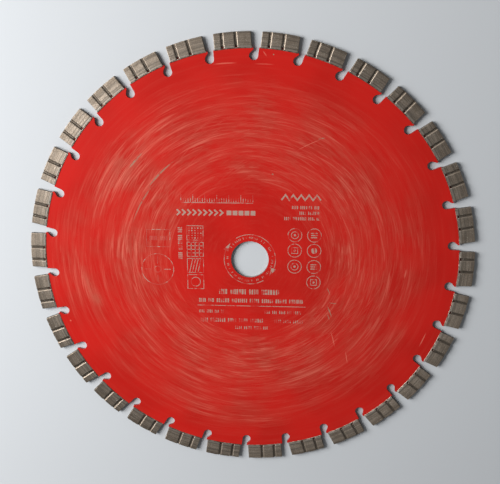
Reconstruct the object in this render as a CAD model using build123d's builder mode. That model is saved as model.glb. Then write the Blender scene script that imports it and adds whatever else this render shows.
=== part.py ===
from build123d import *

import os
from math import cos, hypot, radians, sin

os.makedirs("parts", exist_ok=True)

# A diamond cutting disc for masonry: a thin steel core, and sintered diamond segments
# that are laser-welded to the lands between its gullets.
# The disc lies flat. The origin is the centre of its bore, half-way through the core.
# +Z points out of the printed face, and angles run anticlockwise from +X as seen from there.
# In use the disc turns clockwise as seen from the printed face.

# Driving dimensions, in millimetres and degrees
disc_diameter = 300.0
bore_diameter = 25.4
core_thickness = 1.8
segment_thickness = 2.8
segment_count = 30
segment_height = 10.0

# A gullet is a keyhole: a drilled stress-relief hole with a short mouth to the rim.
first_gullet_angle = 5.0
gullet_hole_diameter = 5.7
gullet_hole_depth = 5.1  # from the rim to the hole's centre
leading_wall_lean = 6.0  # the clockwise wall opens outwards by this angle
trailing_wall_flare = 45.0  # the anticlockwise wall undercuts its land by this angle
lip_offset = 0.2  # from the hole's middle line to the tip of the undercut land
rim_corner_radius = 0.7

# Each face of a segment has three pads, divided by two pressed grooves.
long_pad = 8.9
middle_pad = 6.6
short_pad = 4.3
groove_width = 2.1
groove_floor_width = 0.9
groove_depth = 0.6
pocket_length = 1.3  # a deeper pocket where a groove ends at the weld
pocket_depth = 0.35
# The land ends at the next gullet's wall, so its middle lies a little short of half a pitch.
segment_middle_from_gullet = 5.35

weld_radius = disc_diameter / 2 - segment_height
gullet_radius = weld_radius - gullet_hole_depth
pitch_angle = 360 / segment_count
segment_length = long_pad + middle_pad + short_pad + 2 * groove_width
groove_places = [
    -segment_length / 2 + long_pad + groove_width / 2,
    segment_length / 2 - short_pad - groove_width / 2,
]

# The gullet's outline about its hole's centre: +X is outwards, +Y is anticlockwise.
hole_radius = gullet_hole_diameter / 2
lean = radians(leading_wall_lean)
flare = radians(trailing_wall_flare)
past_rim = gullet_hole_depth + 1.0
leading_tangent = (-hole_radius * sin(lean), -hole_radius * cos(lean))
leading_run = (past_rim - leading_tangent[0]) / cos(lean)
leading_end = (past_rim, leading_tangent[1] - leading_run * sin(lean))
trailing_tangent = (hole_radius * sin(flare), hole_radius * cos(flare))
flare_run = (trailing_tangent[1] - lip_offset) / sin(flare)
lip_corner = (trailing_tangent[0] + flare_run * cos(flare), lip_offset)

with BuildSketch() as gullet:
    Circle(hole_radius)
    with BuildLine():
        Polyline(
            (0, 0),
            leading_tangent,
            leading_end,
            (past_rim, lip_offset),
            lip_corner,
            trailing_tangent,
            close=True,
        )
    make_face()


def is_on_rim(vertex):
    return abs(hypot(vertex.X, vertex.Y) - weld_radius) < 0.01


# The core: a plain disc with its bore, a gullet between every two lands, and rounded land corners
with BuildPart() as steel_core:
    with BuildSketch(Plane.XY.offset(-core_thickness / 2)) as core_outline:
        Circle(weld_radius)
        Circle(bore_diameter / 2, mode=Mode.SUBTRACT)
        with PolarLocations(gullet_radius, segment_count, start_angle=first_gullet_angle):
            add(gullet.sketch, mode=Mode.SUBTRACT)
        fillet(core_outline.vertices().filter_by(is_on_rim), radius=rim_corner_radius)
    extrude(amount=core_thickness)
steel_core.part.label = "steel_core"
export_step(steel_core.part, "parts/steel_core.step")


def build_segment(middle_angle):
    """One segment, its parallel ends square to the radius at middle_angle."""
    outwards = Vector(cos(radians(middle_angle)), sin(radians(middle_angle)), 0)
    # The back face is the front face turned by half a turn about the segment's radius,
    # so the grooves of the two faces alternate.
    front_face = Plane(origin=(0, 0, 0), x_dir=outwards, z_dir=(0, 0, 1))
    back_face = Plane(origin=(0, 0, 0), x_dir=outwards, z_dir=(0, 0, -1))

    with BuildPart() as segment:
        with BuildSketch(front_face.offset(-segment_thickness / 2)):
            Circle(disc_diameter / 2)
            Circle(weld_radius, mode=Mode.SUBTRACT)
            with Locations((weld_radius + segment_height / 2, 0)):
                Rectangle(2 * segment_height, segment_length, mode=Mode.INTERSECT)
        extrude(amount=segment_thickness)

        for face in (front_face, back_face):
            # The groove's section, looking outwards from the disc's centre
            section = Plane(origin=outwards * (weld_radius - 1), x_dir=face.y_dir, z_dir=face.x_dir)
            with BuildSketch(section):
                with Locations(*[(place, segment_thickness / 2) for place in groove_places]):
                    Polygon(
                        (-groove_width / 2, 0),
                        (-groove_floor_width / 2, -groove_depth),
                        (groove_floor_width / 2, -groove_depth),
                        (groove_width / 2, 0),
                        align=None,
                    )
            extrude(amount=segment_height + 2, mode=Mode.SUBTRACT)

            with BuildSketch(face.offset(segment_thickness / 2 - groove_depth)):
                with Locations(*[(weld_radius, place) for place in groove_places]):
                    Rectangle(2 * pocket_length, groove_floor_width)
            extrude(amount=-pocket_depth, mode=Mode.SUBTRACT)
    return segment.part


for number in range(1, segment_count + 1):
    gullet_angle = first_gullet_angle + (number - 1) * pitch_angle
    part = build_segment(gullet_angle + segment_middle_from_gullet)
    part.label = f"segment_{number:02d}"
    export_step(part, f"parts/{part.label}.step")
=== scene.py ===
from math import atan2, cos, hypot, pi, radians, sin, sqrt
from random import Random

import bpy
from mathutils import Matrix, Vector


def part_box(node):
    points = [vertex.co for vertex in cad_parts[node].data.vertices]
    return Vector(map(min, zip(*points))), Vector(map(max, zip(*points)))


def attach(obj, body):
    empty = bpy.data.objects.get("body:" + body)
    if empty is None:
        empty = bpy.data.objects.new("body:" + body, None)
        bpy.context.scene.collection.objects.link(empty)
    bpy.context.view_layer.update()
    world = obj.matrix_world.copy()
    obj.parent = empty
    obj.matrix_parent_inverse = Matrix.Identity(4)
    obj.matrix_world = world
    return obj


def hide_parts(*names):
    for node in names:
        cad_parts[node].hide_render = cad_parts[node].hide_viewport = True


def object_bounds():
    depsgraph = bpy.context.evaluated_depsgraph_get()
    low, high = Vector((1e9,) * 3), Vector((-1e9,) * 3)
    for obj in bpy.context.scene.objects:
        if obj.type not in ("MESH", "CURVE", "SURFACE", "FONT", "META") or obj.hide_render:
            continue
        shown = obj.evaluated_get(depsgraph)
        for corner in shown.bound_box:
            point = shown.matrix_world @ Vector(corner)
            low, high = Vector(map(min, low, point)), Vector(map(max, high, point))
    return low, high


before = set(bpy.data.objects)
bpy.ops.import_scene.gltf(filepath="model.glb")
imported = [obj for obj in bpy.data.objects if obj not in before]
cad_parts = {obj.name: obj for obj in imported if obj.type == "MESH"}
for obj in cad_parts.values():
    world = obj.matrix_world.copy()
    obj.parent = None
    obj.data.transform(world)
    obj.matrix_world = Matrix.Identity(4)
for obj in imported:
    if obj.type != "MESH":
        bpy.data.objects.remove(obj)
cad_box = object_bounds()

# A diamond cutting disc for masonry, lying on its back face: a lacquered steel core with
# thirty sintered diamond segments welded round it. Lengths are in metres, in the disc's own
# frame: the origin is the middle of the bore, and +Z points out of the printed face.
mm = 0.001


# Steel core. One disc of thin spring steel with a bore and thirty keyhole gullets, laser-cut
# and then sprayed red, also in the gullets. Work has rubbed pale arcs of stone dust into the
# lacquer, and the bore is ground bare to its fit.

core_radius = 140.0 * mm
core_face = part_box("steel_core")[1].z
bore_radius = 12.7 * mm
gullet_count = 30
pitch = 2 * pi / gullet_count
first_gullet = radians(5)
hole_radius = 2.85 * mm
hole_depth = 5.1 * mm
leading_lean = radians(6)
trailing_flare = radians(45)
lip_offset = 0.2 * mm
land_corner = 0.7 * mm
land_steps = 10
arc_step = radians(8)
bore_sides = 120
edge_break = 0.1 * mm
flange_radius = 54.5 * mm

clean_red = "#c01b14"
deep_red = "#b4160f"
dust_film = "#ae503d"
scratch_red = "#dc7562"
smear_brown = "#8f4a38"
rusted_steel = "#8a7e67"


def linear(hex_colour):
    """An sRGB hex value as the linear colour that a node holds."""
    channels = [int(hex_colour[place : place + 2], 16) / 255 for place in (1, 3, 5)]
    return (*[c / 12.92 if c <= 0.04045 else ((c + 0.055) / 1.055) ** 2.4 for c in channels], 1.0)


def add(tree, kind, inputs=(), **settings):
    """Adds a node with its settings. Its inputs are a list in the node's own order, or go by
    name, and each takes a value, a node, a socket or a list of nodes."""
    # A kind stands without its family, such as Math for ShaderNodeMath, which adds where no
    # other operation is given.
    families = ("ShaderNode", "GeometryNode", "FunctionNode", "Node")
    node = tree.nodes.new(next(family + kind for family in families if hasattr(bpy.types, family + kind)))
    for name, value in settings.items():
        setattr(node, name, value)
    for key, value in inputs.items() if isinstance(inputs, dict) else enumerate(inputs):
        if isinstance(key, str):
            socket = next(s for s in node.inputs if s.enabled and s.name == key)
        else:
            socket = node.inputs[key]
        for source in value if isinstance(value, list) else [value]:
            if isinstance(source, bpy.types.Node):
                source = next(s for s in source.outputs if s.enabled)
            if isinstance(source, bpy.types.NodeSocket):
                tree.links.new(source, socket)
            else:
                socket.default_value = source
    return node


def arc_points(centre, radius, start, end):
    """Points along an arc about a centre, from one angle to another."""
    steps = max(1, round(abs(end - start) / arc_step))
    angles = [start + (end - start) * number / steps for number in range(steps + 1)]
    return [(centre[0] + radius * cos(a), centre[1] + radius * sin(a)) for a in angles]


def core_outline():
    """One pitch of the rim: a land's rounded corner, the keyhole gullet, and the next land."""
    # The gullet's own axes: +X outwards and +Y anticlockwise, about the middle of its hole.
    reach = core_radius - hole_depth
    inside = core_radius - land_corner
    # The leading wall leans off the hole, and its corner's centre lies one corner radius
    # behind it.
    back, along = (-sin(leading_lean), -cos(leading_lean)), (cos(leading_lean), -sin(leading_lean))
    off_hole = hole_radius + land_corner
    start = (back[0] * off_hole + reach, back[1] * off_hole)
    towards = start[0] * along[0] + start[1] * along[1]
    run = -towards + sqrt(towards**2 - start[0] ** 2 - start[1] ** 2 + inside**2)
    leading = (start[0] + run * along[0], start[1] + run * along[1])
    trailing = (sqrt(inside**2 - (lip_offset + land_corner) ** 2), lip_offset + land_corner)
    # The trailing wall leaves the hole at the flare and turns outwards again at the lip.
    tangent = (hole_radius * sin(trailing_flare), hole_radius * cos(trailing_flare))
    flare_run = (tangent[1] - lip_offset) / sin(trailing_flare)
    lip = (reach + tangent[0] + flare_run * cos(trailing_flare), lip_offset)
    leading_angle, trailing_angle = atan2(leading[1], leading[0]), atan2(trailing[1], trailing[0])
    land_sweep = leading_angle + pitch - trailing_angle
    land = [trailing_angle + land_sweep * number / land_steps for number in range(1, land_steps + 1)]

    points = arc_points(leading, land_corner, leading_angle, pi / 2 - leading_lean)
    points += arc_points((reach, 0), hole_radius, 1.5 * pi - leading_lean, pi / 2 - trailing_flare)
    points += [lip]
    points += arc_points(trailing, land_corner, -pi / 2, trailing_angle)
    points += [(core_radius * cos(angle), core_radius * sin(angle)) for angle in land]
    turn = first_gullet
    return [(x * cos(turn) - y * sin(turn), x * sin(turn) + y * cos(turn)) for x, y in points]


def from_axis(tree, place):
    """The level way from the axis to a place, and how long it is."""
    way = add(tree, "VectorMath", [place, (1, 1, 0)], operation="MULTIPLY")
    return way, add(tree, "VectorMath", [way], operation="LENGTH").outputs["Value"]


def arc_noise(tree, place, centre, length, width, seed, detail):
    """Noise drawn out along circles about a centre, as a turning disc is rubbed."""
    # A streak has its full length at the middle of the lacquered face.
    middle_radius = 80 * mm
    # The two faces are 1.8 mm apart, so a large factor gives the back its own pattern.
    face_factor = 9000.0
    from_centre = add(tree, "VectorMath", [place, centre], operation="SUBTRACT")
    way, radius = from_axis(tree, from_centre)
    around = add(tree, "VectorMath", [way], operation="NORMALIZE")
    along = add(tree, "VectorMath", {"Vector": around, "Scale": middle_radius / length}, operation="SCALE")
    across = add(tree, "Math", [radius, 1 / width, seed], operation="MULTIPLY_ADD")
    height = add(tree, "SeparateXYZ", [place]).outputs["Z"]
    face = add(tree, "Math", [height, face_factor, across], operation="MULTIPLY_ADD")
    vector = add(tree, "VectorMath", [along, add(tree, "CombineXYZ", {"Z": face})])
    return add(tree, "TexNoise", {"Vector": vector, "Scale": 1.0, "Detail": detail})


def unroll(tree, place, seam_side):
    """The face as a flat strip: X is the way round, from opposite the seam, and Y the radius."""
    facing = add(tree, "VectorMath", {"Vector": place, "Scale": -seam_side}, operation="SCALE")
    axes = add(tree, "SeparateXYZ", [facing]).outputs
    angle = add(tree, "Math", [axes["Y"], axes["X"]], operation="ARCTAN2")
    arc = add(tree, "Math", [angle, core_radius], operation="MULTIPLY")
    height = add(tree, "SeparateXYZ", [place]).outputs["Z"]
    return add(tree, "CombineXYZ", {"X": arc, "Y": from_axis(tree, place)[1], "Z": height})


# A MapRange has the value, the range it comes from and the range it goes to, which is 0 to 1
# where none is given. It eases in and out with this setting.
smooth = {"interpolation_type": "SMOOTHSTEP"}


def marks(tree, strips, places, softness):
    """Lens-shaped marks on the front: each has an angle, a radius, a length, a width, a tilt
    and a strength."""
    right_strip, left_strip = strips
    total = None
    for angle, radius, length, width, tilt, strength in places:
        on_left = abs(angle) > 90
        strip_angle = (angle % 360) - 180 if on_left else angle
        # The strip is as long as the rim, so a mark nearer the bore is drawn longer on it.
        half_length = length / 2 * core_radius / radius
        lens = {
            "Vector": left_strip if on_left else right_strip,
            "Location": (radians(strip_angle) * core_radius, radius, core_face),
            "Rotation": (0, 0, radians(tilt)),
            "Scale": (half_length, width / 2, 1.0 * mm),
        }
        lens = add(tree, "Mapping", lens, vector_type="TEXTURE")
        nearness = add(tree, "TexGradient", {"Vector": lens}, gradient_type="SPHERICAL")
        mark = add(tree, "MapRange", [nearness.outputs["Fac"], 0.0, softness, 0.0, strength], **smooth)
        total = add(tree, "Math", [total, mark]) if total else mark
    return total


def layered(tree, colour, layers):
    """A colour with tints laid over it one after another, each as far as its cover goes."""
    colour = linear(colour) if isinstance(colour, str) else colour
    for cover, tint in layers:
        colour = add(tree, "Mix", {"Factor": cover, "A": colour, "B": linear(tint)}, data_type="RGBA")
    return colour


def make_lacquer_pattern():
    """The worn lacquer's colour, roughness and relief, for the bare lacquer and under the print."""
    tree = bpy.data.node_groups.new("worn_lacquer_pattern", "ShaderNodeTree")
    for name, kind in (("Colour", "Color"), ("Roughness", "Float"), ("Relief", "Float"), ("Bare", "Float")):
        tree.interface.new_socket(name, in_out="OUTPUT", socket_type="NodeSocket" + kind)
    place = add(tree, "TexCoord").outputs["Object"]
    strips = unroll(tree, place, -1), unroll(tree, place, 1)
    radius = from_axis(tree, place)[1]

    # How hard each radius was rubbed: the workpiece met the middle of the disc the most.
    reach = add(tree, "Math", [radius, core_radius], operation="DIVIDE")
    rubbed = add(tree, "FloatCurve", {"Value": reach})
    curve = rubbed.mapping.curves[0]
    curve.points[0].location = (0.0, 0.08)
    curve.points[1].location = (1.0, 0.04)
    for where, much in ((0.37, 0.1), (0.41, 0.28), (0.62, 0.31), (0.74, 0.18), (0.83, 0.13), (0.91, 0.04)):
        curve.points.new(where, much)

    # Wide swaths 3.5 mm across gate the scratches in them. Scratches are a tenth of a
    # millimetre on the real disc, and drawn 0.5 to 1 mm wide here so that they show.
    # Their centres differ, because the disc was rubbed in more than one setting.
    kinds = (
        # Centre, length, width, seed, detail, the noise where it begins and is full, strength
        ((0, 0, 0), 42 * mm, 3.5 * mm, 3.0, 4.0, 0.46, 0.56, 1.0),
        ((4 * mm, -3 * mm, 0), 20 * mm, 0.9 * mm, 17.0, 4.0, 0.5, 0.64, 1.0),
        ((-6 * mm, 4 * mm, 0), 26 * mm, 0.5 * mm, 41.0, 3.0, 0.54, 0.68, 0.7),
        ((22 * mm, 14 * mm, 0), 20 * mm, 0.7 * mm, 63.0, 4.0, 0.58, 0.7, 0.6),
    )
    in_swath, streak, hairline, crossing = [
        add(tree, "MapRange", [arc_noise(tree, place, *drawn), low, high, 0.0, most], **smooth)
        for *drawn, low, high, most in kinds
    ]
    # Plain noises, from clouds of wear to the lacquer's fine peel
    cloud, patch, broken, peel = [
        add(tree, "TexNoise", {"Vector": place, "Scale": 1 / across, "Detail": detail})
        for across, detail in ((34 * mm, 1.0), (13 * mm, 3.0), (1.6 * mm, 3.0), (1.1 * mm, 1.0))
    ]

    # Where it was rubbed harder or wiped clean, as angle, radius, length, width, tilt, strength
    rubbed_places = [
        (168, 78 * mm, 110 * mm, 46 * mm, 0, 0.16),
        (141, 106 * mm, 130 * mm, 34 * mm, 0, 0.32),
        (182, 124 * mm, 130 * mm, 46 * mm, 0, 0.16),
        (3, 70 * mm, 70 * mm, 34 * mm, 0, 0.1),
        (87, 104 * mm, 84 * mm, 26 * mm, 0, 0.11),
        (-92, 76 * mm, 110 * mm, 48 * mm, 0, 0.2),
        (-96, 118 * mm, 150 * mm, 34 * mm, 0, 0.14),
        (-166, 111.5 * mm, 40 * mm, 12 * mm, -10, 0.6),
        (-28, 114 * mm, 38 * mm, 9 * mm, 4, 0.24),
        (60, 100 * mm, 50 * mm, 12 * mm, 3, 0.14),
    ]
    harder = marks(tree, strips, rubbed_places, 0.9)
    strength = add(tree, "Math", [rubbed, harder])
    uneven = add(tree, "MapRange", [cloud, 0.32, 0.68, 0.6, 1.2], **smooth)
    strength = add(tree, "Math", [strength, uneven], operation="MULTIPLY")
    patchy = add(tree, "MapRange", [patch, 0.3, 0.7, 0.5, 1.0], **smooth)
    film = add(tree, "Math", [patchy, strength], operation="MULTIPLY")
    # Something brushed the film off again in short broad strokes with ragged ends.
    brushed = arc_noise(tree, place, (-9 * mm, 10 * mm, 0), 13 * mm, 2.4 * mm, 77.0, 4.0)
    brushed = add(tree, "MapRange", [brushed, 0.5, 0.57, 1.0, 0.45], **smooth)
    film = add(tree, "Math", [film, brushed], operation="MULTIPLY")
    lit_streak = add(tree, "Math", [streak, in_swath], operation="MULTIPLY")
    scratches = add(tree, "Math", [lit_streak, hairline], operation="MAXIMUM")
    scratches = add(tree, "Math", [scratches, crossing], operation="MAXIMUM")
    scratches = add(tree, "Math", [in_swath, 0.22, scratches], operation="MULTIPLY_ADD")
    dust = add(tree, "Math", [scratches, strength], operation="MULTIPLY", use_clamp=True)
    # The clamping flange kept the middle clean, and its edge left a fine ring.
    off_flange = add(tree, "Math", [radius, flange_radius], operation="SUBTRACT")
    off_flange = add(tree, "Math", [off_flange], operation="ABSOLUTE")
    edge = add(tree, "MapRange", [off_flange, 0.0, 0.7 * mm, 0.3, 0.0], **smooth)
    edge = add(tree, "Math", [edge, in_swath], operation="MULTIPLY")
    dust = add(tree, "Math", [dust, edge], operation="MAXIMUM")

    # Marks that were knocked through the lacquer: long arcs, a row of chips, single nicks
    bare_places = [
        (136, 83.4 * mm, 32 * mm, 1.6 * mm, 0, 0.65),
        (152, 82.2 * mm, 36 * mm, 1.5 * mm, 1, 0.5),
        (138.5, 101 * mm, 17 * mm, 1.8 * mm, 0, 0.75),
        (-22, 57.8 * mm, 5.0 * mm, 1.0 * mm, -22, 0.8),
        (-33.5, 65.5 * mm, 7.0 * mm, 1.5 * mm, -33, 0.9),
        (-28, 64.5 * mm, 4.0 * mm, 1.1 * mm, 50, 0.8),
        (-36.8, 67.4 * mm, 3.4 * mm, 1.3 * mm, -35, 0.9),
        (60.6, 94.8 * mm, 5.0 * mm, 1.0 * mm, -30, 0.8),
        (75.7, 60.6 * mm, 1.6 * mm, 1.4 * mm, 0, 0.8),
        (83.7, 136.4 * mm, 1.2 * mm, 1.1 * mm, 0, 1.0),
    ]
    bare = marks(tree, strips, bare_places, 0.6)
    broken = add(tree, "MapRange", [broken, 0.34, 0.56, 0.25, 1.0], **smooth)
    bare = add(tree, "Math", [bare, broken], operation="MULTIPLY")
    # Light scrapes that only took the gloss off
    scrape_places = [
        (-44.5, 80.5 * mm, 10.0 * mm, 1.0 * mm, -44, 0.6),
        (-46.2, 97 * mm, 9.0 * mm, 0.9 * mm, -46, 0.6),
        (-25.0, 131 * mm, 13.0 * mm, 0.9 * mm, -3, 0.7),
        (64.0, 87.5 * mm, 16.0 * mm, 0.9 * mm, -38, 0.5),
        (-4.5, 105 * mm, 8.0 * mm, 1.6 * mm, 4, 0.4),
        (-159.5, 134 * mm, 1.6 * mm, 1.4 * mm, 0, 0.7),
        (97, 131 * mm, 18.0 * mm, 1.2 * mm, 3, 0.5),
        (86, 130 * mm, 15.0 * mm, 1.0 * mm, -2, 0.3),
        (86, 136.5 * mm, 5.0 * mm, 0.8 * mm, 50, 0.6),
    ]
    scraped = marks(tree, strips, scrape_places, 0.6)
    smeared = marks(tree, strips, [(-78.6, 119.8 * mm, 17 * mm, 4.4 * mm, 3, 0.6)], 0.9)

    depth = add(tree, "MapRange", [cloud, 0.35, 0.7], **smooth)
    dusty = add(tree, "Math", [dust, scraped], operation="ADD", use_clamp=True)
    smear = add(tree, "Math", [smeared, streak], operation="MULTIPLY")
    layers = [(depth, deep_red), (film, dust_film), (dusty, scratch_red), (smear, smear_brown)]

    cuts = add(tree, "Math", [scratches, dust], operation="MULTIPLY")
    relief = add(tree, "Math", [cuts, -0.8, peel], operation="MULTIPLY_ADD")
    outputs = {
        "Colour": layered(tree, clean_red, layers),
        "Roughness": add(tree, "MapRange", [film, 0.0, 0.5, 0.27, 0.36], **smooth),
        "Relief": add(tree, "Math", [bare, -4.0, relief], operation="MULTIPLY_ADD"),
        "Bare": bare,
    }
    add(tree, "GroupOutput", outputs)
    return tree


def start_material(name):
    """A new material and its node tree, with nothing in it yet."""
    material = bpy.data.materials.new(name)
    material.use_nodes = True
    material.node_tree.nodes.clear()
    return material, material.node_tree


def make_lacquer(pattern_tree):
    """Sprayed satin lacquer on steel: a deep even red with a soft gloss. Dust turns it pale and
    dull, and where it is knocked off the steel has a thin brown-grey rust."""
    material, tree = start_material("satin_red_lacquer")
    pattern = add(tree, "Group", node_tree=pattern_tree).outputs
    bump = add(tree, "Bump", {"Strength": 0.6, "Distance": 0.012 * mm, "Height": pattern["Relief"]})
    paint = {
        "Base Color": pattern["Colour"],
        "Roughness": pattern["Roughness"],
        "IOR": 1.5,
        "Specular IOR Level": 0.35,
        "Normal": bump,
    }
    rust = {"Base Color": linear(rusted_steel), "Roughness": 0.6, "IOR": 1.5, "Normal": bump}
    paint, rust = [add(tree, "BsdfPrincipled", finish) for finish in (paint, rust)]
    surface = add(tree, "MixShader", [pattern["Bare"], paint, rust])
    add(tree, "OutputMaterial", {"Surface": surface})
    return material


def make_cut_edge():
    """Lacquer over a laser-cut wall: thinner, so it is darker red, with the cut's upright lines."""
    material, tree = start_material("lacquered_laser_cut")
    place = add(tree, "TexCoord").outputs["Object"]
    upright = add(tree, "VectorMath", [place, (1, 1, 0.08)], operation="MULTIPLY")
    lines = add(tree, "TexNoise", {"Vector": upright, "Scale": 1 / (0.25 * mm), "Detail": 2.0})
    thin = add(tree, "MapRange", [lines, 0.4, 0.7], **smooth)
    paint = {
        "Base Color": layered(tree, "#9c1b17", [(thin, "#6b2620")]),
        "Roughness": 0.42,
        "IOR": 1.5,
        "Normal": add(tree, "Bump", {"Strength": 0.7, "Distance": 0.05 * mm, "Height": lines}),
    }
    add(tree, "OutputMaterial", {"Surface": add(tree, "BsdfPrincipled", paint)})
    return material


def make_ground_bore():
    """Ground spring steel: grey and fairly bright, with fine lines round the bore."""
    material, tree = start_material("ground_spring_steel")
    place = add(tree, "TexCoord").outputs["Object"]
    level = add(tree, "VectorMath", [place, (0.05, 0.05, 1)], operation="MULTIPLY")
    lines = add(tree, "TexNoise", {"Vector": level, "Scale": 1 / (0.12 * mm), "Detail": 2.0})
    steel = {
        "Base Color": layered(tree, "#6f6b66", [(lines, "#a5a19a")]),
        "Metallic": 1.0,
        "Roughness": 0.36,
        "Normal": add(tree, "Bump", {"Strength": 0.4, "Distance": 0.01 * mm, "Height": lines}),
    }
    add(tree, "OutputMaterial", {"Surface": add(tree, "BsdfPrincipled", steel)})
    return material


def start_tree(name, sizes):
    """A geometry tree with a named input for each size, and the sockets that give them."""
    tree = bpy.data.node_groups.new(name, "GeometryNodeTree")
    tree.interface.new_socket("Geometry", in_out="INPUT", socket_type="NodeSocketGeometry")
    kinds = {int: "NodeSocketInt", float: "NodeSocketFloat", bpy.types.Material: "NodeSocketMaterial"}
    for size, value in sizes.items():
        socket = tree.interface.new_socket(size, in_out="INPUT", socket_type=kinds[type(value)])
        socket.default_value = value
    tree.interface.new_socket("Geometry", in_out="OUTPUT", socket_type="NodeSocketGeometry")
    return tree, add(tree, "GroupInput").outputs


def grow(name, tree, values, start=None, broken_edge=None, smooth_below=25):
    """Runs a tree on a start mesh and leaves its result as the object's plain mesh."""
    piece = bpy.data.objects.new(name, start or bpy.data.meshes.new(name))
    bpy.context.collection.objects.link(piece)
    modifier = piece.modifiers.new(tree.name, "NODES")
    modifier.node_group = tree
    for socket in tree.interface.items_tree:
        if socket.in_out == "INPUT" and socket.socket_type != "NodeSocketGeometry":
            modifier[socket.identifier] = values.get(socket.name, socket.default_value)
    if broken_edge:
        bevel = piece.modifiers.new("broken_edge", "BEVEL")
        bevel.width = broken_edge
        bevel.segments = 2
        bevel.limit_method = "ANGLE"
        bevel.angle_limit = radians(40)
    depsgraph = bpy.context.evaluated_depsgraph_get()
    evaluated = piece.evaluated_get(depsgraph)
    mesh = bpy.data.meshes.new_from_object(evaluated, preserve_all_data_layers=True, depsgraph=depsgraph)
    piece.modifiers.clear()
    piece.data = mesh
    mesh.name = name
    # The start mesh had no material, which leaves an empty slot before the tree's own.
    if mesh.materials[0] is None:
        mesh.materials.pop(index=0)
    mesh.shade_smooth()
    mesh.set_sharp_from_angle(angle=radians(smooth_below))
    return piece


def thickened(tree, flat_mesh, thickness):
    """A flat mesh as a closed plate: its faces raised, walls between, and the faces turned down."""
    raised = {"Mesh": flat_mesh, "Offset": (0, 0, 1), "Offset Scale": thickness, "Individual": False}
    raised = add(tree, "ExtrudeMesh", raised)
    underside = add(tree, "FlipFaces", {"Mesh": flat_mesh})
    plate = add(tree, "JoinGeometry", {"Geometry": [raised, underside]})
    return add(tree, "MergeByDistance", {"Geometry": plate, "Distance": 0.001 * mm})


def round_the_disc(tree, piece, count, first_turn):
    """Copies of a piece turned round the axis at even angles, as one real mesh."""
    turns = add(tree, "Points", {"Count": count})
    share = add(tree, "Math", [add(tree, "InputIndex"), count], operation="DIVIDE")
    turn = add(tree, "Math", [share, 2 * pi, first_turn], operation="MULTIPLY_ADD")
    copies = {"Points": turns, "Instance": piece, "Rotation": add(tree, "CombineXYZ", {"Z": turn})}
    copies = add(tree, "InstanceOnPoints", copies)
    return add(tree, "RealizeInstances", {"Geometry": copies})


def make_core_tree(lacquer, cut_edge, ground_bore):
    """The core's plate: one pitch of rim turned round the disc, filled to the bore, and thickened."""
    sizes = {
        "Gullet Count": gullet_count,
        "Thickness": 2 * core_face,
        "Bore Radius": bore_radius,
        "Lacquer": lacquer,
        "Gullet Wall": cut_edge,
        "Bore Wall": ground_bore,
    }
    tree, size = start_tree("gulleted_core", sizes)
    rim = round_the_disc(tree, size["Geometry"], size["Gullet Count"], 0.0)
    rim = add(tree, "MergeByDistance", {"Geometry": rim, "Distance": 0.01 * mm})
    rim = add(tree, "MeshToCurve", {"Mesh": rim})
    bore = add(tree, "CurvePrimitiveCircle", {"Resolution": bore_sides, "Radius": size["Bore Radius"]})
    outlines = add(tree, "JoinGeometry", {"Geometry": [rim, bore]})
    face = add(tree, "FillCurve", {"Curve": outlines}, mode="NGONS")
    plate = thickened(tree, face, size["Thickness"])
    half = add(tree, "Math", [size["Thickness"], -0.5], operation="MULTIPLY")
    down = add(tree, "CombineXYZ", {"Z": half})
    plate = add(tree, "Transform", {"Geometry": plate, "Translation": down})

    # An upright face is a wall: of the bore if it is near the axis, or else of a gullet.
    normal = add(tree, "SeparateXYZ", [add(tree, "InputNormal")])
    tilt = add(tree, "Math", [normal.outputs["Z"]], operation="ABSOLUTE")
    is_wall = add(tree, "Compare", {"A": tilt, "B": 0.5}, operation="LESS_THAN")
    radius = from_axis(tree, add(tree, "InputPosition"))[1]
    is_inner = add(tree, "Compare", {"A": radius, "B": core_radius / 2}, operation="LESS_THAN")
    is_bore = add(tree, "BooleanMath", [is_wall, is_inner], operation="AND")
    for chosen, coat in ((True, "Lacquer"), (is_wall, "Gullet Wall"), (is_bore, "Bore Wall")):
        plate = add(tree, "SetMaterial", {"Geometry": plate, "Selection": chosen, "Material": size[coat]})
    add(tree, "GroupOutput", {"Geometry": plate})
    return tree


lacquer_pattern = make_lacquer_pattern()
outline = core_outline()
outline_mesh = bpy.data.meshes.new("rim_pitch")
outline_edges = [(number, number + 1) for number in range(len(outline) - 1)]
outline_mesh.from_pydata([(x, y, 0) for x, y in outline], outline_edges, [])
core_tree = make_core_tree(make_lacquer(lacquer_pattern), make_cut_edge(), make_ground_bore())
core = grow("lacquered_core", core_tree, {}, outline_mesh, broken_edge=edge_break, smooth_below=20)
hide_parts("steel_core")
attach(core, "root")


# Diamond segments. Thirty blocks of metal powder and diamond grit, pressed with two slanted
# grooves in each face, sintered and ground. The bond has worn back a little, so the crystals
# stand proud of it. The foot at the weld has no diamonds.

segment_length = 24.0 * mm
segment_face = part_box("segment_01")[1].z
disc_radius = core_radius + 10.0 * mm
middle_from_gullet = radians(5.35)
groove_width = 2.1 * mm
groove_floor = 0.9 * mm
groove_depth = 0.6 * mm
groove_places = (-2.05 * mm, 6.65 * mm)
pocket_length = 1.3 * mm
pocket_depth = 0.35 * mm
foot_height = 1.5 * mm
crystal_size = 0.38 * mm
crystal_spacing = 1.1 * mm
# More crystals to a square metre than their spacing lets through
crystal_density = 2e6
stands_proud = 0.08 * mm
worn_corner = 0.16 * mm
wear_patch = 2.2 * mm
skin_grain = 0.9 * mm
grain_relief = 0.035 * mm
seed_step = 7.3


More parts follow.
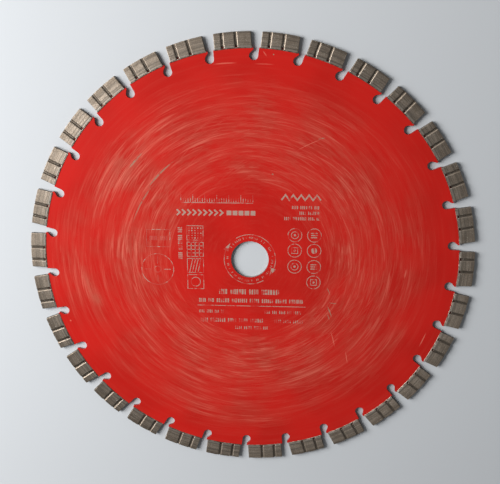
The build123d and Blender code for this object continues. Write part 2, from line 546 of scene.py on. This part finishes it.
def make_sintered_metal():
    """Sintered cobalt and iron powder, ground on its faces: a matt warm grey with fine pores and
    lines along its length, painted shade and dark dried slurry in its grooves, and a brighter foot."""
    material, tree = start_material("sintered_metal_bond")
    place = add(tree, "TexCoord").outputs["Object"]
    outwards, radius = from_axis(tree, place)
    # Powder grains are about 0.1 mm, and drawn 0.4 mm so that they show.
    grain = add(tree, "TexNoise", {"Vector": place, "Scale": 1 / (0.4 * mm), "Detail": 3.0})
    tarnish = add(tree, "TexNoise", {"Vector": place, "Scale": 1 / (5 * mm), "Detail": 2.0})
    lines = arc_noise(tree, place, (0, 0, 0), 22 * mm, 0.8 * mm, 5.0, 3.0)
    # The grooves are darker from their floor nearly up to the face: painted shade in the recess, and slurry
    # that packs in and dries dark.
    level = add(tree, "SeparateXYZ", [place]).outputs["Z"]
    level = add(tree, "Math", [level], operation="ABSOLUTE")
    floor, shade_and_slurry_top = segment_face - groove_depth, segment_face - 0.06 * mm
    groove_shade_and_slurry = add(tree, "MapRange", [level, floor, shade_and_slurry_top, 0.66, 0.0], **smooth)
    # The foot is clean between the grooves, and a fine dark line shows where the powder with
    # diamonds begins.
    foot_top = core_radius + foot_height
    foot = add(tree, "MapRange", [radius, foot_top, foot_top - foot_height * 0.2, 0.0, 0.5], **smooth)
    clean = add(tree, "MapRange", [groove_shade_and_slurry, 0.0, 0.4, 1.0, 0.0], **smooth)
    from_top = add(tree, "Math", [radius, foot_top], operation="SUBTRACT")
    from_top = add(tree, "Math", [from_top], operation="ABSOLUTE")
    # The core was sprayed after the segments were welded on, and the pockets took some of it.
    spray_end = core_radius + pocket_length
    spray = add(tree, "MapRange", [radius, spray_end, core_radius + 0.7 * mm, 0.0, 0.9], **smooth)
    pocket = add(tree, "MapRange", [groove_shade_and_slurry, 0.1, 0.6], **smooth)
    layers = [
        (add(tree, "MapRange", [grain, 0.35, 0.68], **smooth), "#c6b6a5"),
        (add(tree, "MapRange", [lines, 0.38, 0.6, 0.6, 0.0], **smooth), "#635c54"),
        (add(tree, "MapRange", [tarnish, 0.45, 0.7, 0.0, 0.4], **smooth), "#7d6e5e"),
        # Painted shade in the grooves, together with dried slurry
        (groove_shade_and_slurry, "#3d3731"),
        (add(tree, "MapRange", [radius, core_radius + 4 * mm, disc_radius, 0.0, 0.35], **smooth), "#6d6052"),
        (add(tree, "Math", [foot, clean], operation="MULTIPLY"), "#b0a89d"),
        (add(tree, "MapRange", [from_top, 0.1 * mm, 0.4 * mm, 0.5, 0.0], **smooth), "#5a5148"),
        (add(tree, "Math", [spray, pocket], operation="MULTIPLY"), "#7c130e"),
    ]
    relief = add(tree, "Math", [lines, 0.8, grain], operation="MULTIPLY_ADD")
    metal = {
        "Base Color": layered(tree, "#928475", layers),
        "Metallic": 0.9,
        "Roughness": add(tree, "MapRange", [grain, 0.3, 0.7, 0.58, 0.44], **smooth),
        "Anisotropic": 0.35,
        "Tangent": outwards,
        "Normal": add(tree, "Bump", {"Strength": 0.8, "Distance": 0.05 * mm, "Height": relief}),
    }
    add(tree, "OutputMaterial", {"Surface": add(tree, "BsdfPrincipled", metal)})
    return material


def make_diamond_grit():
    """Synthetic diamond grit held in metal: small glassy crystals, grey with a touch of yellow."""
    material, tree = start_material("synthetic_diamond_grit")
    place = add(tree, "TexCoord").outputs["Object"]
    tint = add(tree, "TexNoise", {"Vector": place, "Scale": 1 / (0.9 * mm), "Detail": 1.0})
    yellow = add(tree, "MapRange", [tint, 0.35, 0.65], **smooth)
    colour = layered(tree, "#827b6c", [(yellow, "#b5af98")])
    crystal = {"Base Color": colour, "Roughness": 0.3, "IOR": 2.42}
    add(tree, "OutputMaterial", {"Surface": add(tree, "BsdfPrincipled", crystal)})
    return material


def make_segment_tree(metal, grit):
    """One segment at a place round the disc, shaped from a fine block and set with crystals."""
    sizes = {
        "Segment Length": segment_length,
        "Half Thickness": segment_face - stands_proud,
        "Inner Radius": core_radius,
        "Outer Radius": disc_radius - stands_proud,
        "Groove Width": groove_width,
        "Groove Floor": groove_floor,
        "Groove Depth": groove_depth,
        "Pocket Length": pocket_length,
        "Pocket Depth": pocket_depth,
        "Worn Corner": worn_corner,
        "Grain Relief": grain_relief,
        "Crystal Size": crystal_size,
        "Crystal Spacing": crystal_spacing,
        "Middle Angle": 0.0,
        "Seed": 0,
        "Metal": metal,
        "Grit": grit,
    }
    tree, size = start_tree("pressed_segment", sizes)
    # The block's +X is outwards and its +Y is anticlockwise. Its grid is about 0.3 mm.
    block = add(tree, "MeshCube", {"Size": (1, 1, 1), "Vertices X": 29, "Vertices Y": 89, "Vertices Z": 9})
    place = add(tree, "InputPosition")
    inner, outer = size["Inner Radius"], size["Outer Radius"]
    height = add(tree, "Math", [outer, inner], operation="SUBTRACT")
    thickness = add(tree, "Math", [size["Half Thickness"], 2.0], operation="MULTIPLY")
    box = add(tree, "CombineXYZ", {"X": height, "Y": size["Segment Length"], "Z": thickness})
    block_place = add(tree, "VectorMath", [place, box], operation="MULTIPLY")

    # Rounding: each point keeps a corner's radius from an inner box. Wear makes it uneven.
    # Each segment has its own place in the noises.
    seed_shift = add(tree, "Math", [size["Seed"], seed_step], operation="MULTIPLY")
    wear = {"Vector": block_place, "W": seed_shift, "Scale": 1 / wear_patch, "Detail": 3.0}
    wear = add(tree, "TexNoise", wear, noise_dimensions="4D")
    wear = add(tree, "MapRange", [wear, 0.35, 0.75, 1.0, 3.2], **smooth)
    corner = add(tree, "Math", [size["Worn Corner"], wear], operation="MULTIPLY")
    half_box = add(tree, "VectorMath", {"Vector": box, "Scale": 0.5}, operation="SCALE")
    high = add(tree, "VectorMath", [half_box, corner], operation="SUBTRACT")
    low = add(tree, "VectorMath", {"Vector": high, "Scale": -1.0}, operation="SCALE")
    kernel = add(tree, "VectorMath", [block_place, low], operation="MAXIMUM")
    kernel = add(tree, "VectorMath", [kernel, high], operation="MINIMUM")
    outwards = add(tree, "VectorMath", [block_place, kernel], operation="SUBTRACT")
    outwards = add(tree, "VectorMath", [outwards], operation="NORMALIZE")
    outwards = add(tree, "VectorMath", {"Vector": outwards, "Scale": corner}, operation="SCALE")
    rounded = add(tree, "VectorMath", [kernel, outwards])
    rounded = add(tree, "SeparateXYZ", [rounded]).outputs
    shares = []
    for axis, extent in (("X", height), ("Z", thickness)):
        share = add(tree, "Math", [rounded[axis], extent], operation="DIVIDE")
        shares.append(add(tree, "Math", [share, 0.5]))
    share_out, share_up = shares
    from_foot = add(tree, "Math", [share_out, height], operation="MULTIPLY")

    # Grooves: two pressed into each face, at mirrored places, with a deeper pocket at the weld
    half_width = add(tree, "Math", [size["Groove Width"], 0.5], operation="MULTIPLY")
    half_floor = add(tree, "Math", [size["Groove Floor"], 0.5], operation="MULTIPLY")
    pocket_end = add(tree, "Math", [size["Pocket Length"], 1.3], operation="MULTIPLY")
    in_pocket = add(tree, "MapRange", [from_foot, size["Pocket Length"], pocket_end, 1.0, 0.0])
    depths = []
    for side in (1, -1):
        depth = None
        for middle in groove_places:
            offset = add(tree, "Math", [rounded["Y"], side * middle], operation="SUBTRACT")
            offset = add(tree, "Math", [offset], operation="ABSOLUTE")
            groove = add(tree, "MapRange", [offset, half_floor, half_width, size["Groove Depth"], 0.0])
            pocket = add(tree, "Math", [offset, half_floor], operation="LESS_THAN")
            pocket = add(tree, "Math", [pocket, in_pocket], operation="MULTIPLY")
            groove = add(tree, "Math", [pocket, size["Pocket Depth"], groove], operation="MULTIPLY_ADD")
            depth = add(tree, "Math", [depth, groove], operation="MAXIMUM") if depth else groove
        depths.append(depth)
    front = add(tree, "Math", [size["Half Thickness"], depths[0]], operation="SUBTRACT")
    back = add(tree, "Math", [depths[1], size["Half Thickness"]], operation="SUBTRACT")
    level = add(tree, "Mix", {"Factor": share_up, "A": back, "B": front}, data_type="FLOAT")

    # The foot follows the core's rim and the working face follows the disc's outer circle.
    sideways = add(tree, "Math", [rounded["Y"], rounded["Y"]], operation="MULTIPLY")
    ends = []
    for end in (inner, outer):
        square = add(tree, "Math", [end, end], operation="MULTIPLY")
        square = add(tree, "Math", [square, sideways], operation="SUBTRACT")
        ends.append(add(tree, "Math", [square], operation="SQRT"))
    reach = add(tree, "Mix", {"Factor": share_out, "A": ends[0], "B": ends[1]}, data_type="FLOAT")
    shaped = add(tree, "CombineXYZ", {"X": reach, "Y": rounded["Y"], "Z": level})
    shaped = add(tree, "SetPosition", {"Geometry": block, "Position": shaped})

    # The bond's rough skin, from one and a half reliefs below the shape to half of one above
    place = add(tree, "InputPosition")
    rough = {"Vector": place, "W": seed_shift, "Scale": 1 / skin_grain, "Detail": 2.0}
    rough = add(tree, "TexNoise", rough, noise_dimensions="4D")
    rough = add(tree, "Math", [rough, 2.0, -1.5], operation="MULTIPLY_ADD")
    rough = add(tree, "Math", [rough, size["Grain Relief"]], operation="MULTIPLY")
    push = add(tree, "VectorMath", {"Vector": add(tree, "InputNormal"), "Scale": rough}, operation="SCALE")
    skin = add(tree, "SetPosition", {"Geometry": shaped, "Offset": push})
    skin = add(tree, "SetMaterial", {"Geometry": skin, "Material": size["Metal"]})

    # Crystals: one icosahedron each, sunk until only its top shows
    out = add(tree, "SeparateXYZ", [add(tree, "InputPosition")]).outputs["X"]
    foot_top = add(tree, "Math", [inner, foot_height + crystal_size])
    above_foot = add(tree, "Compare", {"A": out, "B": foot_top}, operation="GREATER_THAN")
    spots = {
        "Mesh": shaped,
        "Selection": above_foot,
        "Distance Min": size["Crystal Spacing"],
        "Density Max": crystal_density,
        "Seed": size["Seed"],
    }
    spots = add(tree, "DistributePointsOnFaces", spots, distribute_method="POISSON").outputs
    radius = add(tree, "Math", [size["Crystal Size"], 0.5], operation="MULTIPLY")
    sink = add(tree, "Math", [stands_proud, radius], operation="SUBTRACT")
    sunk = add(tree, "VectorMath", {"Vector": spots["Normal"], "Scale": sink}, operation="SCALE")
    turn = {"Min": (0, 0, 0), "Max": (2 * pi, 2 * pi, 2 * pi), "Seed": size["Seed"]}
    scale = {"Min": 0.55, "Max": 1.0, "Seed": size["Seed"]}
    crystals = {
        "Points": add(tree, "SetPosition", {"Geometry": spots["Points"], "Offset": sunk}),
        "Instance": add(tree, "MeshIcoSphere", {"Radius": radius, "Subdivisions": 1}),
        "Rotation": add(tree, "RandomValue", turn, data_type="FLOAT_VECTOR"),
        "Scale": add(tree, "RandomValue", scale, data_type="FLOAT"),
    }
    crystals = add(tree, "InstanceOnPoints", crystals)
    crystals = add(tree, "RealizeInstances", {"Geometry": crystals})
    crystals = add(tree, "SetMaterial", {"Geometry": crystals, "Material": size["Grit"]})
    segment = add(tree, "JoinGeometry", {"Geometry": [skin, crystals]})
    turned = add(tree, "CombineXYZ", {"Z": size["Middle Angle"]})
    segment = add(tree, "Transform", {"Geometry": segment, "Rotation": turned})
    add(tree, "GroupOutput", {"Geometry": segment})
    return tree


segment_tree = make_segment_tree(make_sintered_metal(), make_diamond_grit())
for number in range(gullet_count):
    node_name = f"segment_{number + 1:02d}"
    values = {"Middle Angle": first_gullet + middle_from_gullet + number * pitch, "Seed": number}
    segment = grow(f"sintered_{node_name}", segment_tree, values, smooth_below=35)
    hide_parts(node_name)
    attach(segment, "root")


# Weld seams. A laser melts each segment's foot to its land from both sides and leaves a thin
# bead of bare steel with ripples, beside the lacquer.

bead_width = 0.8 * mm
bead_height = 0.5 * mm
bead_radius = core_radius - 0.1 * mm
bead_level = core_face + 0.05 * mm
bead_points = 130
bead_sides = 8
# Real ripples are about 0.2 mm apart, and drawn 0.6 mm apart so that they show.
ripple_spacing = 0.6 * mm
ripple_height = 0.05 * mm
spatter_size = 1.3 * mm


def make_weld_bead():
    """Remelted steel: bare and fairly bright, with brown heat tints and duller spots."""
    material, tree = start_material("laser_weld_bead")
    place = add(tree, "TexCoord").outputs["Object"]
    heat = add(tree, "TexNoise", {"Vector": place, "Scale": 1 / (2.5 * mm), "Detail": 2.0})
    heat = add(tree, "MapRange", [heat, 0.4, 0.62], **smooth)
    spots = add(tree, "TexNoise", {"Vector": place, "Scale": 1 / (0.7 * mm), "Detail": 2.0})
    metal = {
        "Base Color": layered(tree, "#948b80", [(heat, "#64564a")]),
        "Metallic": 1.0,
        "Roughness": add(tree, "MapRange", [spots, 0.4, 0.6, 0.38, 0.6], **smooth),
    }
    add(tree, "OutputMaterial", {"Surface": add(tree, "BsdfPrincipled", metal)})
    return material


def make_weld_tree(bead_metal):
    """A rippled bead along one foot, on the front and on the back, repeated round the disc."""
    sizes = {
        "Segment Count": gullet_count,
        "Seam Radius": bead_radius,
        "Seam Length": segment_length,
        "Bead Width": bead_width,
        "Bead Height": bead_height,
        "Bead Level": bead_level,
        "Ripple Spacing": ripple_spacing,
        "Ripple Height": ripple_height,
        "First Middle": first_gullet + middle_from_gullet,
        "Bead Metal": bead_metal,
    }
    tree, size = start_tree("laser_weld_seams", sizes)
    sweep = add(tree, "Math", [size["Seam Length"], size["Seam Radius"]], operation="DIVIDE")
    start = add(tree, "Math", [sweep, -0.5], operation="MULTIPLY")
    seam = {
        "Resolution": bead_points,
        "Radius": size["Seam Radius"],
        "Start Angle": start,
        "Sweep Angle": sweep,
    }
    seam = add(tree, "CurveArc", seam)
    half_width = add(tree, "Math", [size["Bead Width"], 0.5], operation="MULTIPLY")
    section = add(tree, "CurvePrimitiveCircle", {"Resolution": bead_sides, "Radius": half_width})
    bead = add(tree, "CurveToMesh", {"Curve": seam, "Profile Curve": section, "Fill Caps": True})

    # Even ripples along the bead, and uneven swelling where it spattered
    place = add(tree, "InputPosition")
    along = add(tree, "SeparateXYZ", [place]).outputs["Y"]
    phase = add(tree, "Math", [along, size["Ripple Spacing"]], operation="DIVIDE")
    phase = add(tree, "Math", [phase, 2 * pi], operation="MULTIPLY")
    ripple = add(tree, "Math", [phase], operation="SINE")
    uneven = add(tree, "TexNoise", {"Vector": place, "Scale": 1 / spatter_size, "Detail": 2.0})
    uneven = add(tree, "Math", [uneven, 4.0, -2.0], operation="MULTIPLY_ADD")
    swell = add(tree, "Math", [ripple, uneven])
    swell = add(tree, "Math", [swell, size["Ripple Height"]], operation="MULTIPLY")
    push = add(tree, "VectorMath", {"Vector": add(tree, "InputNormal"), "Scale": swell}, operation="SCALE")
    bead = add(tree, "SetPosition", {"Geometry": bead, "Offset": push})
    flatness = add(tree, "Math", [size["Bead Height"], size["Bead Width"]], operation="DIVIDE")
    placed = {
        "Geometry": bead,
        "Translation": add(tree, "CombineXYZ", {"Z": size["Bead Level"]}),
        "Scale": add(tree, "CombineXYZ", {"X": 1.0, "Y": 1.0, "Z": flatness}),
    }
    bead = add(tree, "Transform", placed)
    back_bead = add(tree, "Transform", {"Geometry": bead, "Rotation": (pi, 0, 0)})
    both = add(tree, "JoinGeometry", {"Geometry": [bead, back_bead]})
    beads = round_the_disc(tree, both, size["Segment Count"], size["First Middle"])
    beads = add(tree, "SetMaterial", {"Geometry": beads, "Material": size["Bead Metal"]})
    add(tree, "GroupOutput", {"Geometry": beads})
    return tree


seams = grow("laser_weld_seams", make_weld_tree(make_weld_bead()), {}, smooth_below=60)
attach(seams, "root")


# Print. Silver-grey screen ink on the front face, drawn twice as thick as real ink: two arrows
# round the bore for the way it turns, and plain scales, chevrons, rings, patches and rows of
# bars. Rubbing has worn the left side nearly away.

ink_thickness = 0.02 * mm
ink_grey = "#a59586"
fine_line = 0.45 * mm
narrowest = 0.45 * mm
widest_gap = 0.7 * mm


def make_ink(pattern_tree):
    """Silver-grey screen ink on lacquer: matt and thin, rubbed through to the red in places."""
    material, tree = start_material("worn_silver_screen_ink")
    place = add(tree, "TexCoord").outputs["Object"]
    pattern = add(tree, "Group", node_tree=pattern_tree).outputs
    wear = add(tree, "Attribute", attribute_name="wear").outputs["Fac"]
    rubbed = arc_noise(tree, place, (0, 0, 0), 9 * mm, 1.4 * mm, 29.0, 3.0)
    blotch = add(tree, "TexNoise", {"Vector": place, "Scale": 1 / (6 * mm), "Detail": 2.0})
    # The two noises add up to 0.7 to 1.3, so a wear of 0 leaves all the ink and 1 takes it all.
    chance = add(tree, "Math", [rubbed, blotch])
    left = add(tree, "Math", [wear, 0.62, 0.68], operation="MULTIPLY_ADD")
    above = add(tree, "Math", [chance, left], operation="SUBTRACT")
    cover = add(tree, "MapRange", [above, -0.06, 0.1, 0.1, 0.8], **smooth)
    ink = {
        "Base Color": layered(tree, pattern["Colour"], [(cover, ink_grey)]),
        "Roughness": add(tree, "MapRange", [cover, 0.1, 0.8, 0.4, 0.55], **smooth),
        "IOR": 1.5,
    }
    add(tree, "OutputMaterial", {"Surface": add(tree, "BsdfPrincipled", ink)})
    return material


def make_ink_tree(ink):
    """Flat artwork as a closed film of ink, with how far it is worn away."""
    tree, size = start_tree("ink_film", {"Film Thickness": ink_thickness, "Wear": 0.0, "Ink": ink})
    artwork = add(tree, "MergeByDistance", {"Geometry": size["Geometry"], "Distance": 0.002 * mm})
    film = thickened(tree, artwork, size["Film Thickness"])
    film = add(tree, "StoreNamedAttribute", {"Geometry": film, "Name": "wear", "Value": size["Wear"]})
    film = add(tree, "SetMaterial", {"Geometry": film, "Material": size["Ink"]})
    add(tree, "GroupOutput", {"Geometry": film})
    return tree


def stroke(points, width=fine_line, closed=False):
    """A line of even width through points, as one four-sided face for each stretch."""
    count = len(points)
    left, right = [], []
    for number, (x, y) in enumerate(points):
        before = points[number - 1] if closed or number > 0 else None
        after = points[(number + 1) % count] if closed or number < count - 1 else None
        ways = [(x - before[0], y - before[1])] if before else []
        ways += [(after[0] - x, after[1] - y)] if after else []
        units = [(dx / hypot(dx, dy), dy / hypot(dx, dy)) for dx, dy in ways]
        along = (sum(u[0] for u in units) / len(units), sum(u[1] for u in units) / len(units))
        # A corner's mitre is longer than half the width by one over the mean direction's length.
        reach = width / 2 / (along[0] ** 2 + along[1] ** 2)
        left.append((x - along[1] * reach, y + along[0] * reach))
        right.append((x + along[1] * reach, y - along[0] * reach))
    stretches = range(count if closed else count - 1)
    return [[right[n], right[(n + 1) % count], left[(n + 1) % count], left[n]] for n in stretches]


def bar(left, bottom, right, top):
    """A filled bar."""
    return [[(left, bottom), (right, bottom), (right, top), (left, top)]]


def frame_line(left, bottom, right, top):
    """A bar's outline."""
    return stroke(bar(left, bottom, right, top)[0], closed=True)


def ring(centre, radius):
    """A plain ring."""
    return stroke(arc_points(centre, radius, 0, 2 * pi)[:-1], closed=True)


def disc(centre, radius):
    """A filled disc."""
    return [arc_points(centre, radius, 0, 2 * pi)[:-1]]


def row(left, right, bottom, height, seed, heaviest, upright=False):
    """A row of small bars in groups, of uneven width. It runs up the face if it is upright."""
    widths = Random(seed)
    faces, start, left_in_group = [], left, 4
    while True:
        end = start + widths.uniform(narrowest, heaviest)
        if end > right:
            return faces
        ends = (bottom, start, bottom + height, end) if upright else (start, bottom, end, bottom + height)
        faces += bar(*ends)
        start = end + widths.uniform(narrowest, widest_gap)
        left_in_group -= 1
        if left_in_group == 0:
            start += height * 0.5
            left_in_group = widths.randint(3, 8)


def rows(places):
    """Several rows, each as its left, right, bottom, height, seed and heaviest bar."""
    return [face for place in places for face in row(*place)]


def arrow_ring():
    """Two long arrows round the bore, pointing clockwise, and small ticks inside them."""
    arrow_radius, arrow_sweep = 17.4 * mm, radians(163)
    head_sweep, head_half = radians(20), 1.7 * mm
    ticks = (14.6 * mm, 15.9 * mm)
    faces = []
    for tail in (radians(302), radians(122)):
        tip = tail - arrow_sweep
        neck = tip + head_sweep
        faces += stroke(arc_points((0, 0), arrow_radius, tail, neck))
        head = ((arrow_radius + head_half, neck), (arrow_radius - head_half, neck), (arrow_radius, tip))
        faces.append([(radius * cos(angle), radius * sin(angle)) for radius, angle in head])
    gaps = Random(12)
    angle = 0.0
    while angle < 2 * pi:
        if gaps.random() > 0.3:
            faces += stroke([(radius * cos(angle), radius * sin(angle)) for radius in ticks])
        angle += radians(gaps.choice((4, 4, 5, 8)))
    return faces


def ring_marks():
    """Seven plain rings in two columns, with a ring, bars, a square or a disc in them by turns."""
    columns, levels = (30.2 * mm, 43.2 * mm), (17.5 * mm, 6.8 * mm, -4.5 * mm)
    outer, inner, dot, half = 4.6 * mm, 2.4 * mm, 0.8 * mm, 2.0 * mm
    bar_half, bar_rise, bar_spacing = 2.2 * mm, 0.35 * mm, 1.5 * mm
    faces = []
    centres = [(x, y) for y in levels for x in columns] + [(columns[1], -15.5 * mm)]
    for number, (x, y) in enumerate(centres):
        faces += ring((x, y), outer)
        if number % 4 == 0:
            faces += ring((x, y), inner) + disc((x, y), dot)
        elif number % 4 == 1:
            for level in (y - bar_spacing, y, y + bar_spacing):
                faces += bar(x - bar_half, level - bar_rise, x + bar_half, level + bar_rise)
        elif number % 4 == 2:
            faces += frame_line(x - half, y - half, x + half, y + half) + disc((x, y), dot)
        else:
            faces += disc((x, y), half)
    return faces


def index_row():
    """A row of nine chevrons and five squares after it."""
    chevron_left, chevron_spacing, chevron_depth = -49 * mm, 3.6 * mm, 2.1 * mm
    chevron_bottom, chevron_height, chevron_line = 30.2 * mm, 4.0 * mm, 1.1 * mm
    square_left, square_bottom, square, square_spacing = -15.5 * mm, 30.6 * mm, 3.2 * mm, 4.0 * mm
    faces = []
    for number in range(9):
        left = chevron_left + number * chevron_spacing
        nose = (left + chevron_depth, chevron_bottom + chevron_height / 2)
        ends = (left, chevron_bottom), nose, (left, chevron_bottom + chevron_height)
        faces += stroke(ends, chevron_line)
    for number in range(5):
        left = square_left + number * square_spacing
        faces += bar(left, square_bottom, left + square, square_bottom + square)
    return faces


def side_block():
    """A heavy zigzag above three fine rows, set to the right."""
    zigzag_left, zigzag_spacing, zigzag_line = 21 * mm, 2.6 * mm, 1.0 * mm
    peak, foot = 45 * mm, 41.5 * mm
    points = [(zigzag_left + number * zigzag_spacing, peak if number % 2 else foot) for number in range(11)]
    places = (
        (28 * mm, 47 * mm, 35.4 * mm, 2.2 * mm, 9, 0.7 * mm),
        (33 * mm, 47 * mm, 31.6 * mm, 2.2 * mm, 10, 0.7 * mm),
        (23 * mm, 47 * mm, 27.8 * mm, 2.2 * mm, 11, 0.7 * mm),
    )
    return stroke(points, zigzag_line) + rows(places)


def swatches():
    """Four framed squares one below the other: dots, a grid, a hatch and a ring."""
    left, right, tops, height = -42.5 * mm, -31.5 * mm, (23 * mm, 11.5 * mm, 0.0, -11.5 * mm), 10 * mm
    first_dot, dot_spacing = (left + 1.5 * mm, 14.5 * mm), (2.0 * mm, 1.7 * mm)
    hatch_inset, hatch_spacing, hatch_lean, hatch_lines = 0.4 * mm, 1.9 * mm, 2.4 * mm, 4
    ring_centre, ring_radius = ((left + right) / 2, tops[3] - height / 2), 3.2 * mm
    faces = []
    for top in tops:
        faces += frame_line(left, top - height, right, top)
    dots = Random(5)
    for column in range(5):
        for line in range(5):
            centre = (first_dot[0] + column * dot_spacing[0], first_dot[1] + line * dot_spacing[1])
            faces += disc(centre, dots.uniform(0.3 * mm, 0.6 * mm))
    for quarter in (0.25, 0.5, 0.75):
        x, y = left + (right - left) * quarter, tops[1] - height * (1 - quarter)
        faces += stroke([(left, y), (right, y)]) + stroke([(x, tops[1] - height), (x, tops[1])])
    for number in range(hatch_lines):
        x = left + hatch_inset + hatch_spacing * (number + 0.5)
        faces += stroke([(x, tops[2] - height), (x + hatch_lean, tops[2])])
    return faces + ring(ring_centre, ring_radius)


def worn_gauge():
    """A large ring with crossed lines under a framed bar, on the most rubbed side."""
    centre, outer, inner, cross = (-63 * mm, -8 * mm), 11 * mm, 2.2 * mm, (4 * mm, 9 * mm)
    faces = ring(centre, outer) + ring(centre, inner)
    for turn in range(4):
        way = (cos(turn * pi / 2), sin(turn * pi / 2))
        faces += stroke([(centre[0] + way[0] * reach, centre[1] + way[1] * reach) for reach in cross])
    faces += frame_line(-70 * mm, 8 * mm, -54 * mm, 20 * mm)
    return faces + row(-68 * mm, -56 * mm, 12.5 * mm, 3.0 * mm, 15, 1.0 * mm)


def lower_rows():
    """A heavy row over a long one, with a ruled line below them."""
    left, right, rule_level = -36 * mm, 38 * mm, -33.4 * mm
    places = (
        (-21 * mm, 22 * mm, -25.0 * mm, 3.6 * mm, 21, 1.4 * mm),
        (-35 * mm, 37.5 * mm, -31.0 * mm, 2.8 * mm, 22, 1.1 * mm),
    )
    return rows(places) + stroke([(left, rule_level), (right, rule_level)])


def faint_rows():
    """Five fine rows at the bottom, nearly rubbed away."""
    places = (
        (-35 * mm, -17 * mm, -38.8 * mm, 2.2 * mm, 31, 0.7 * mm),
        (10 * mm, 37 * mm, -38.8 * mm, 2.2 * mm, 32, 0.7 * mm),
        (-34 * mm, 9 * mm, -45.4 * mm, 2.8 * mm, 33, 0.9 * mm),
        (17 * mm, 37 * mm, -45.4 * mm, 2.4 * mm, 34, 0.7 * mm),
        (-10 * mm, 13 * mm, -50.4 * mm, 2.2 * mm, 35, 0.7 * mm),
    )
    return rows(places)


def tick_scale():
    """A rule with short ticks standing on it, and a long one at every fifth."""
    left, bottom, spacing, steps = -46 * mm, 39 * mm, 1.6 * mm, 30
    long_tick, short_tick = 5.5 * mm, 3.0 * mm
    faces = stroke([(left, bottom), (left + steps * spacing, bottom)])
    for number in range(steps + 1):
        x, height = left + number * spacing, short_tick if number % 5 else long_tick
        faces += stroke([(x, bottom + fine_line), (x, bottom + height)])
    return faces


side_strip = row(-0.5 * mm, 22.5 * mm, -48.6 * mm, 2.9 * mm, 41, 1.1 * mm, upright=True)
# Each piece of artwork, with how far it is worn away
prints = {
    "print_arrow_ring": (arrow_ring(), 0.45),
    "print_ring_marks": (ring_marks(), 0.3),
    "print_index_row": (index_row(), 0.0),
    "print_side_block": (side_block(), 0.25),
    "print_swatches": (swatches(), 0.4),
    "print_side_strip": (side_strip, 0.3),
    "print_worn_gauge": (worn_gauge(), 0.65),
    "print_lower_rows": (lower_rows(), 0.35),
    "print_faint_rows": (faint_rows(), 0.5),
    "print_tick_scale": (tick_scale(), 0.55),
}
ink_tree = make_ink_tree(make_ink(lacquer_pattern))
for name, (faces, wear) in prints.items():
    artwork = bpy.data.meshes.new(name)
    points, corners = [], []
    for face in faces:
        corners.append(range(len(points), len(points) + len(face)))
        points += [(x, y, core_face) for x, y in face]
    artwork.from_pydata(points, [], corners)
    film = grow(name, ink_tree, {"Wear": wear}, artwork)
    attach(film, "root")


# Studio. The disc lies on a plain pale table in a pale room, lit softly by one window at its
# left. The camera's place and lens were found from the disc's outline and bore.

room_grey = "#d9dcdf"
table_grey = "#c4c7ca"
table_half = 4.0
fade_start, fade_end = 0.24, 0.65

camera = bpy.data.objects.new("camera", bpy.data.cameras.new("camera"))
camera.location = (33.07 * mm, 168.21 * mm, 550.01 * mm)
camera.rotation_euler = (radians(-15.826), radians(3.434), 0)
camera.data.lens = 61.257
camera.data.sensor_width = 36.0
bpy.context.collection.objects.link(camera)
bpy.context.scene.camera = camera

# The table is matt. Far from the disc it fades, for the eye and the gloss, into the pale room.
table_mesh = bpy.data.meshes.new("table")
corners = [(x * table_half, y * table_half, cad_box[0].z) for x, y in ((-1, -1), (1, -1), (1, 1), (-1, 1))]
table_mesh.from_pydata(corners, [], [(0, 1, 2, 3)])
table = bpy.data.objects.new("table", table_mesh)
bpy.context.collection.objects.link(table)
table_paint, tree = start_material("pale_matt_table")
matt = add(tree, "BsdfDiffuse", {"Color": linear(table_grey)})
room = add(tree, "Emission", {"Color": linear(room_grey), "Strength": 1.0})
distance = from_axis(tree, add(tree, "TexCoord").outputs["Object"])[1]
ray = add(tree, "LightPath").outputs
seen = add(tree, "Math", [ray["Is Camera Ray"], ray["Is Glossy Ray"]], operation="MAXIMUM")
fade = add(tree, "MapRange", [distance, fade_start, fade_end], **smooth)
fade = add(tree, "Math", [fade, seen], operation="MULTIPLY")
surface = add(tree, "MixShader", [fade, matt, room])
add(tree, "OutputMaterial", {"Surface": surface})
table_mesh.materials.append(table_paint)

key = bpy.data.objects.new("window_light", bpy.data.lights.new("window_light", "AREA"))
key.data.size = 0.65
key.data.energy = 17.2
key.location = (-0.78, 0.24, 0.60)
key.rotation_euler = (-key.location).to_track_quat("-Z", "Y").to_euler()
bpy.context.collection.objects.link(key)

# The walls of the room are pale and its ceiling is dim, so the gloss stays deep from above.
world = bpy.data.worlds.new("studio")
world.use_nodes = True
tree = world.node_tree
tree.nodes.clear()
upwards = add(tree, "SeparateXYZ", [add(tree, "TexCoord").outputs["Generated"]])
brightness = add(tree, "MapRange", [upwards.outputs["Z"], 0.0, 0.6, 1.0, 0.16], **smooth)
sky = add(tree, "Background", {"Color": linear(room_grey), "Strength": brightness})
add(tree, "OutputWorld", {"Surface": sky})
bpy.context.scene.world = world
bpy.context.scene.view_settings.view_transform = "Standard"
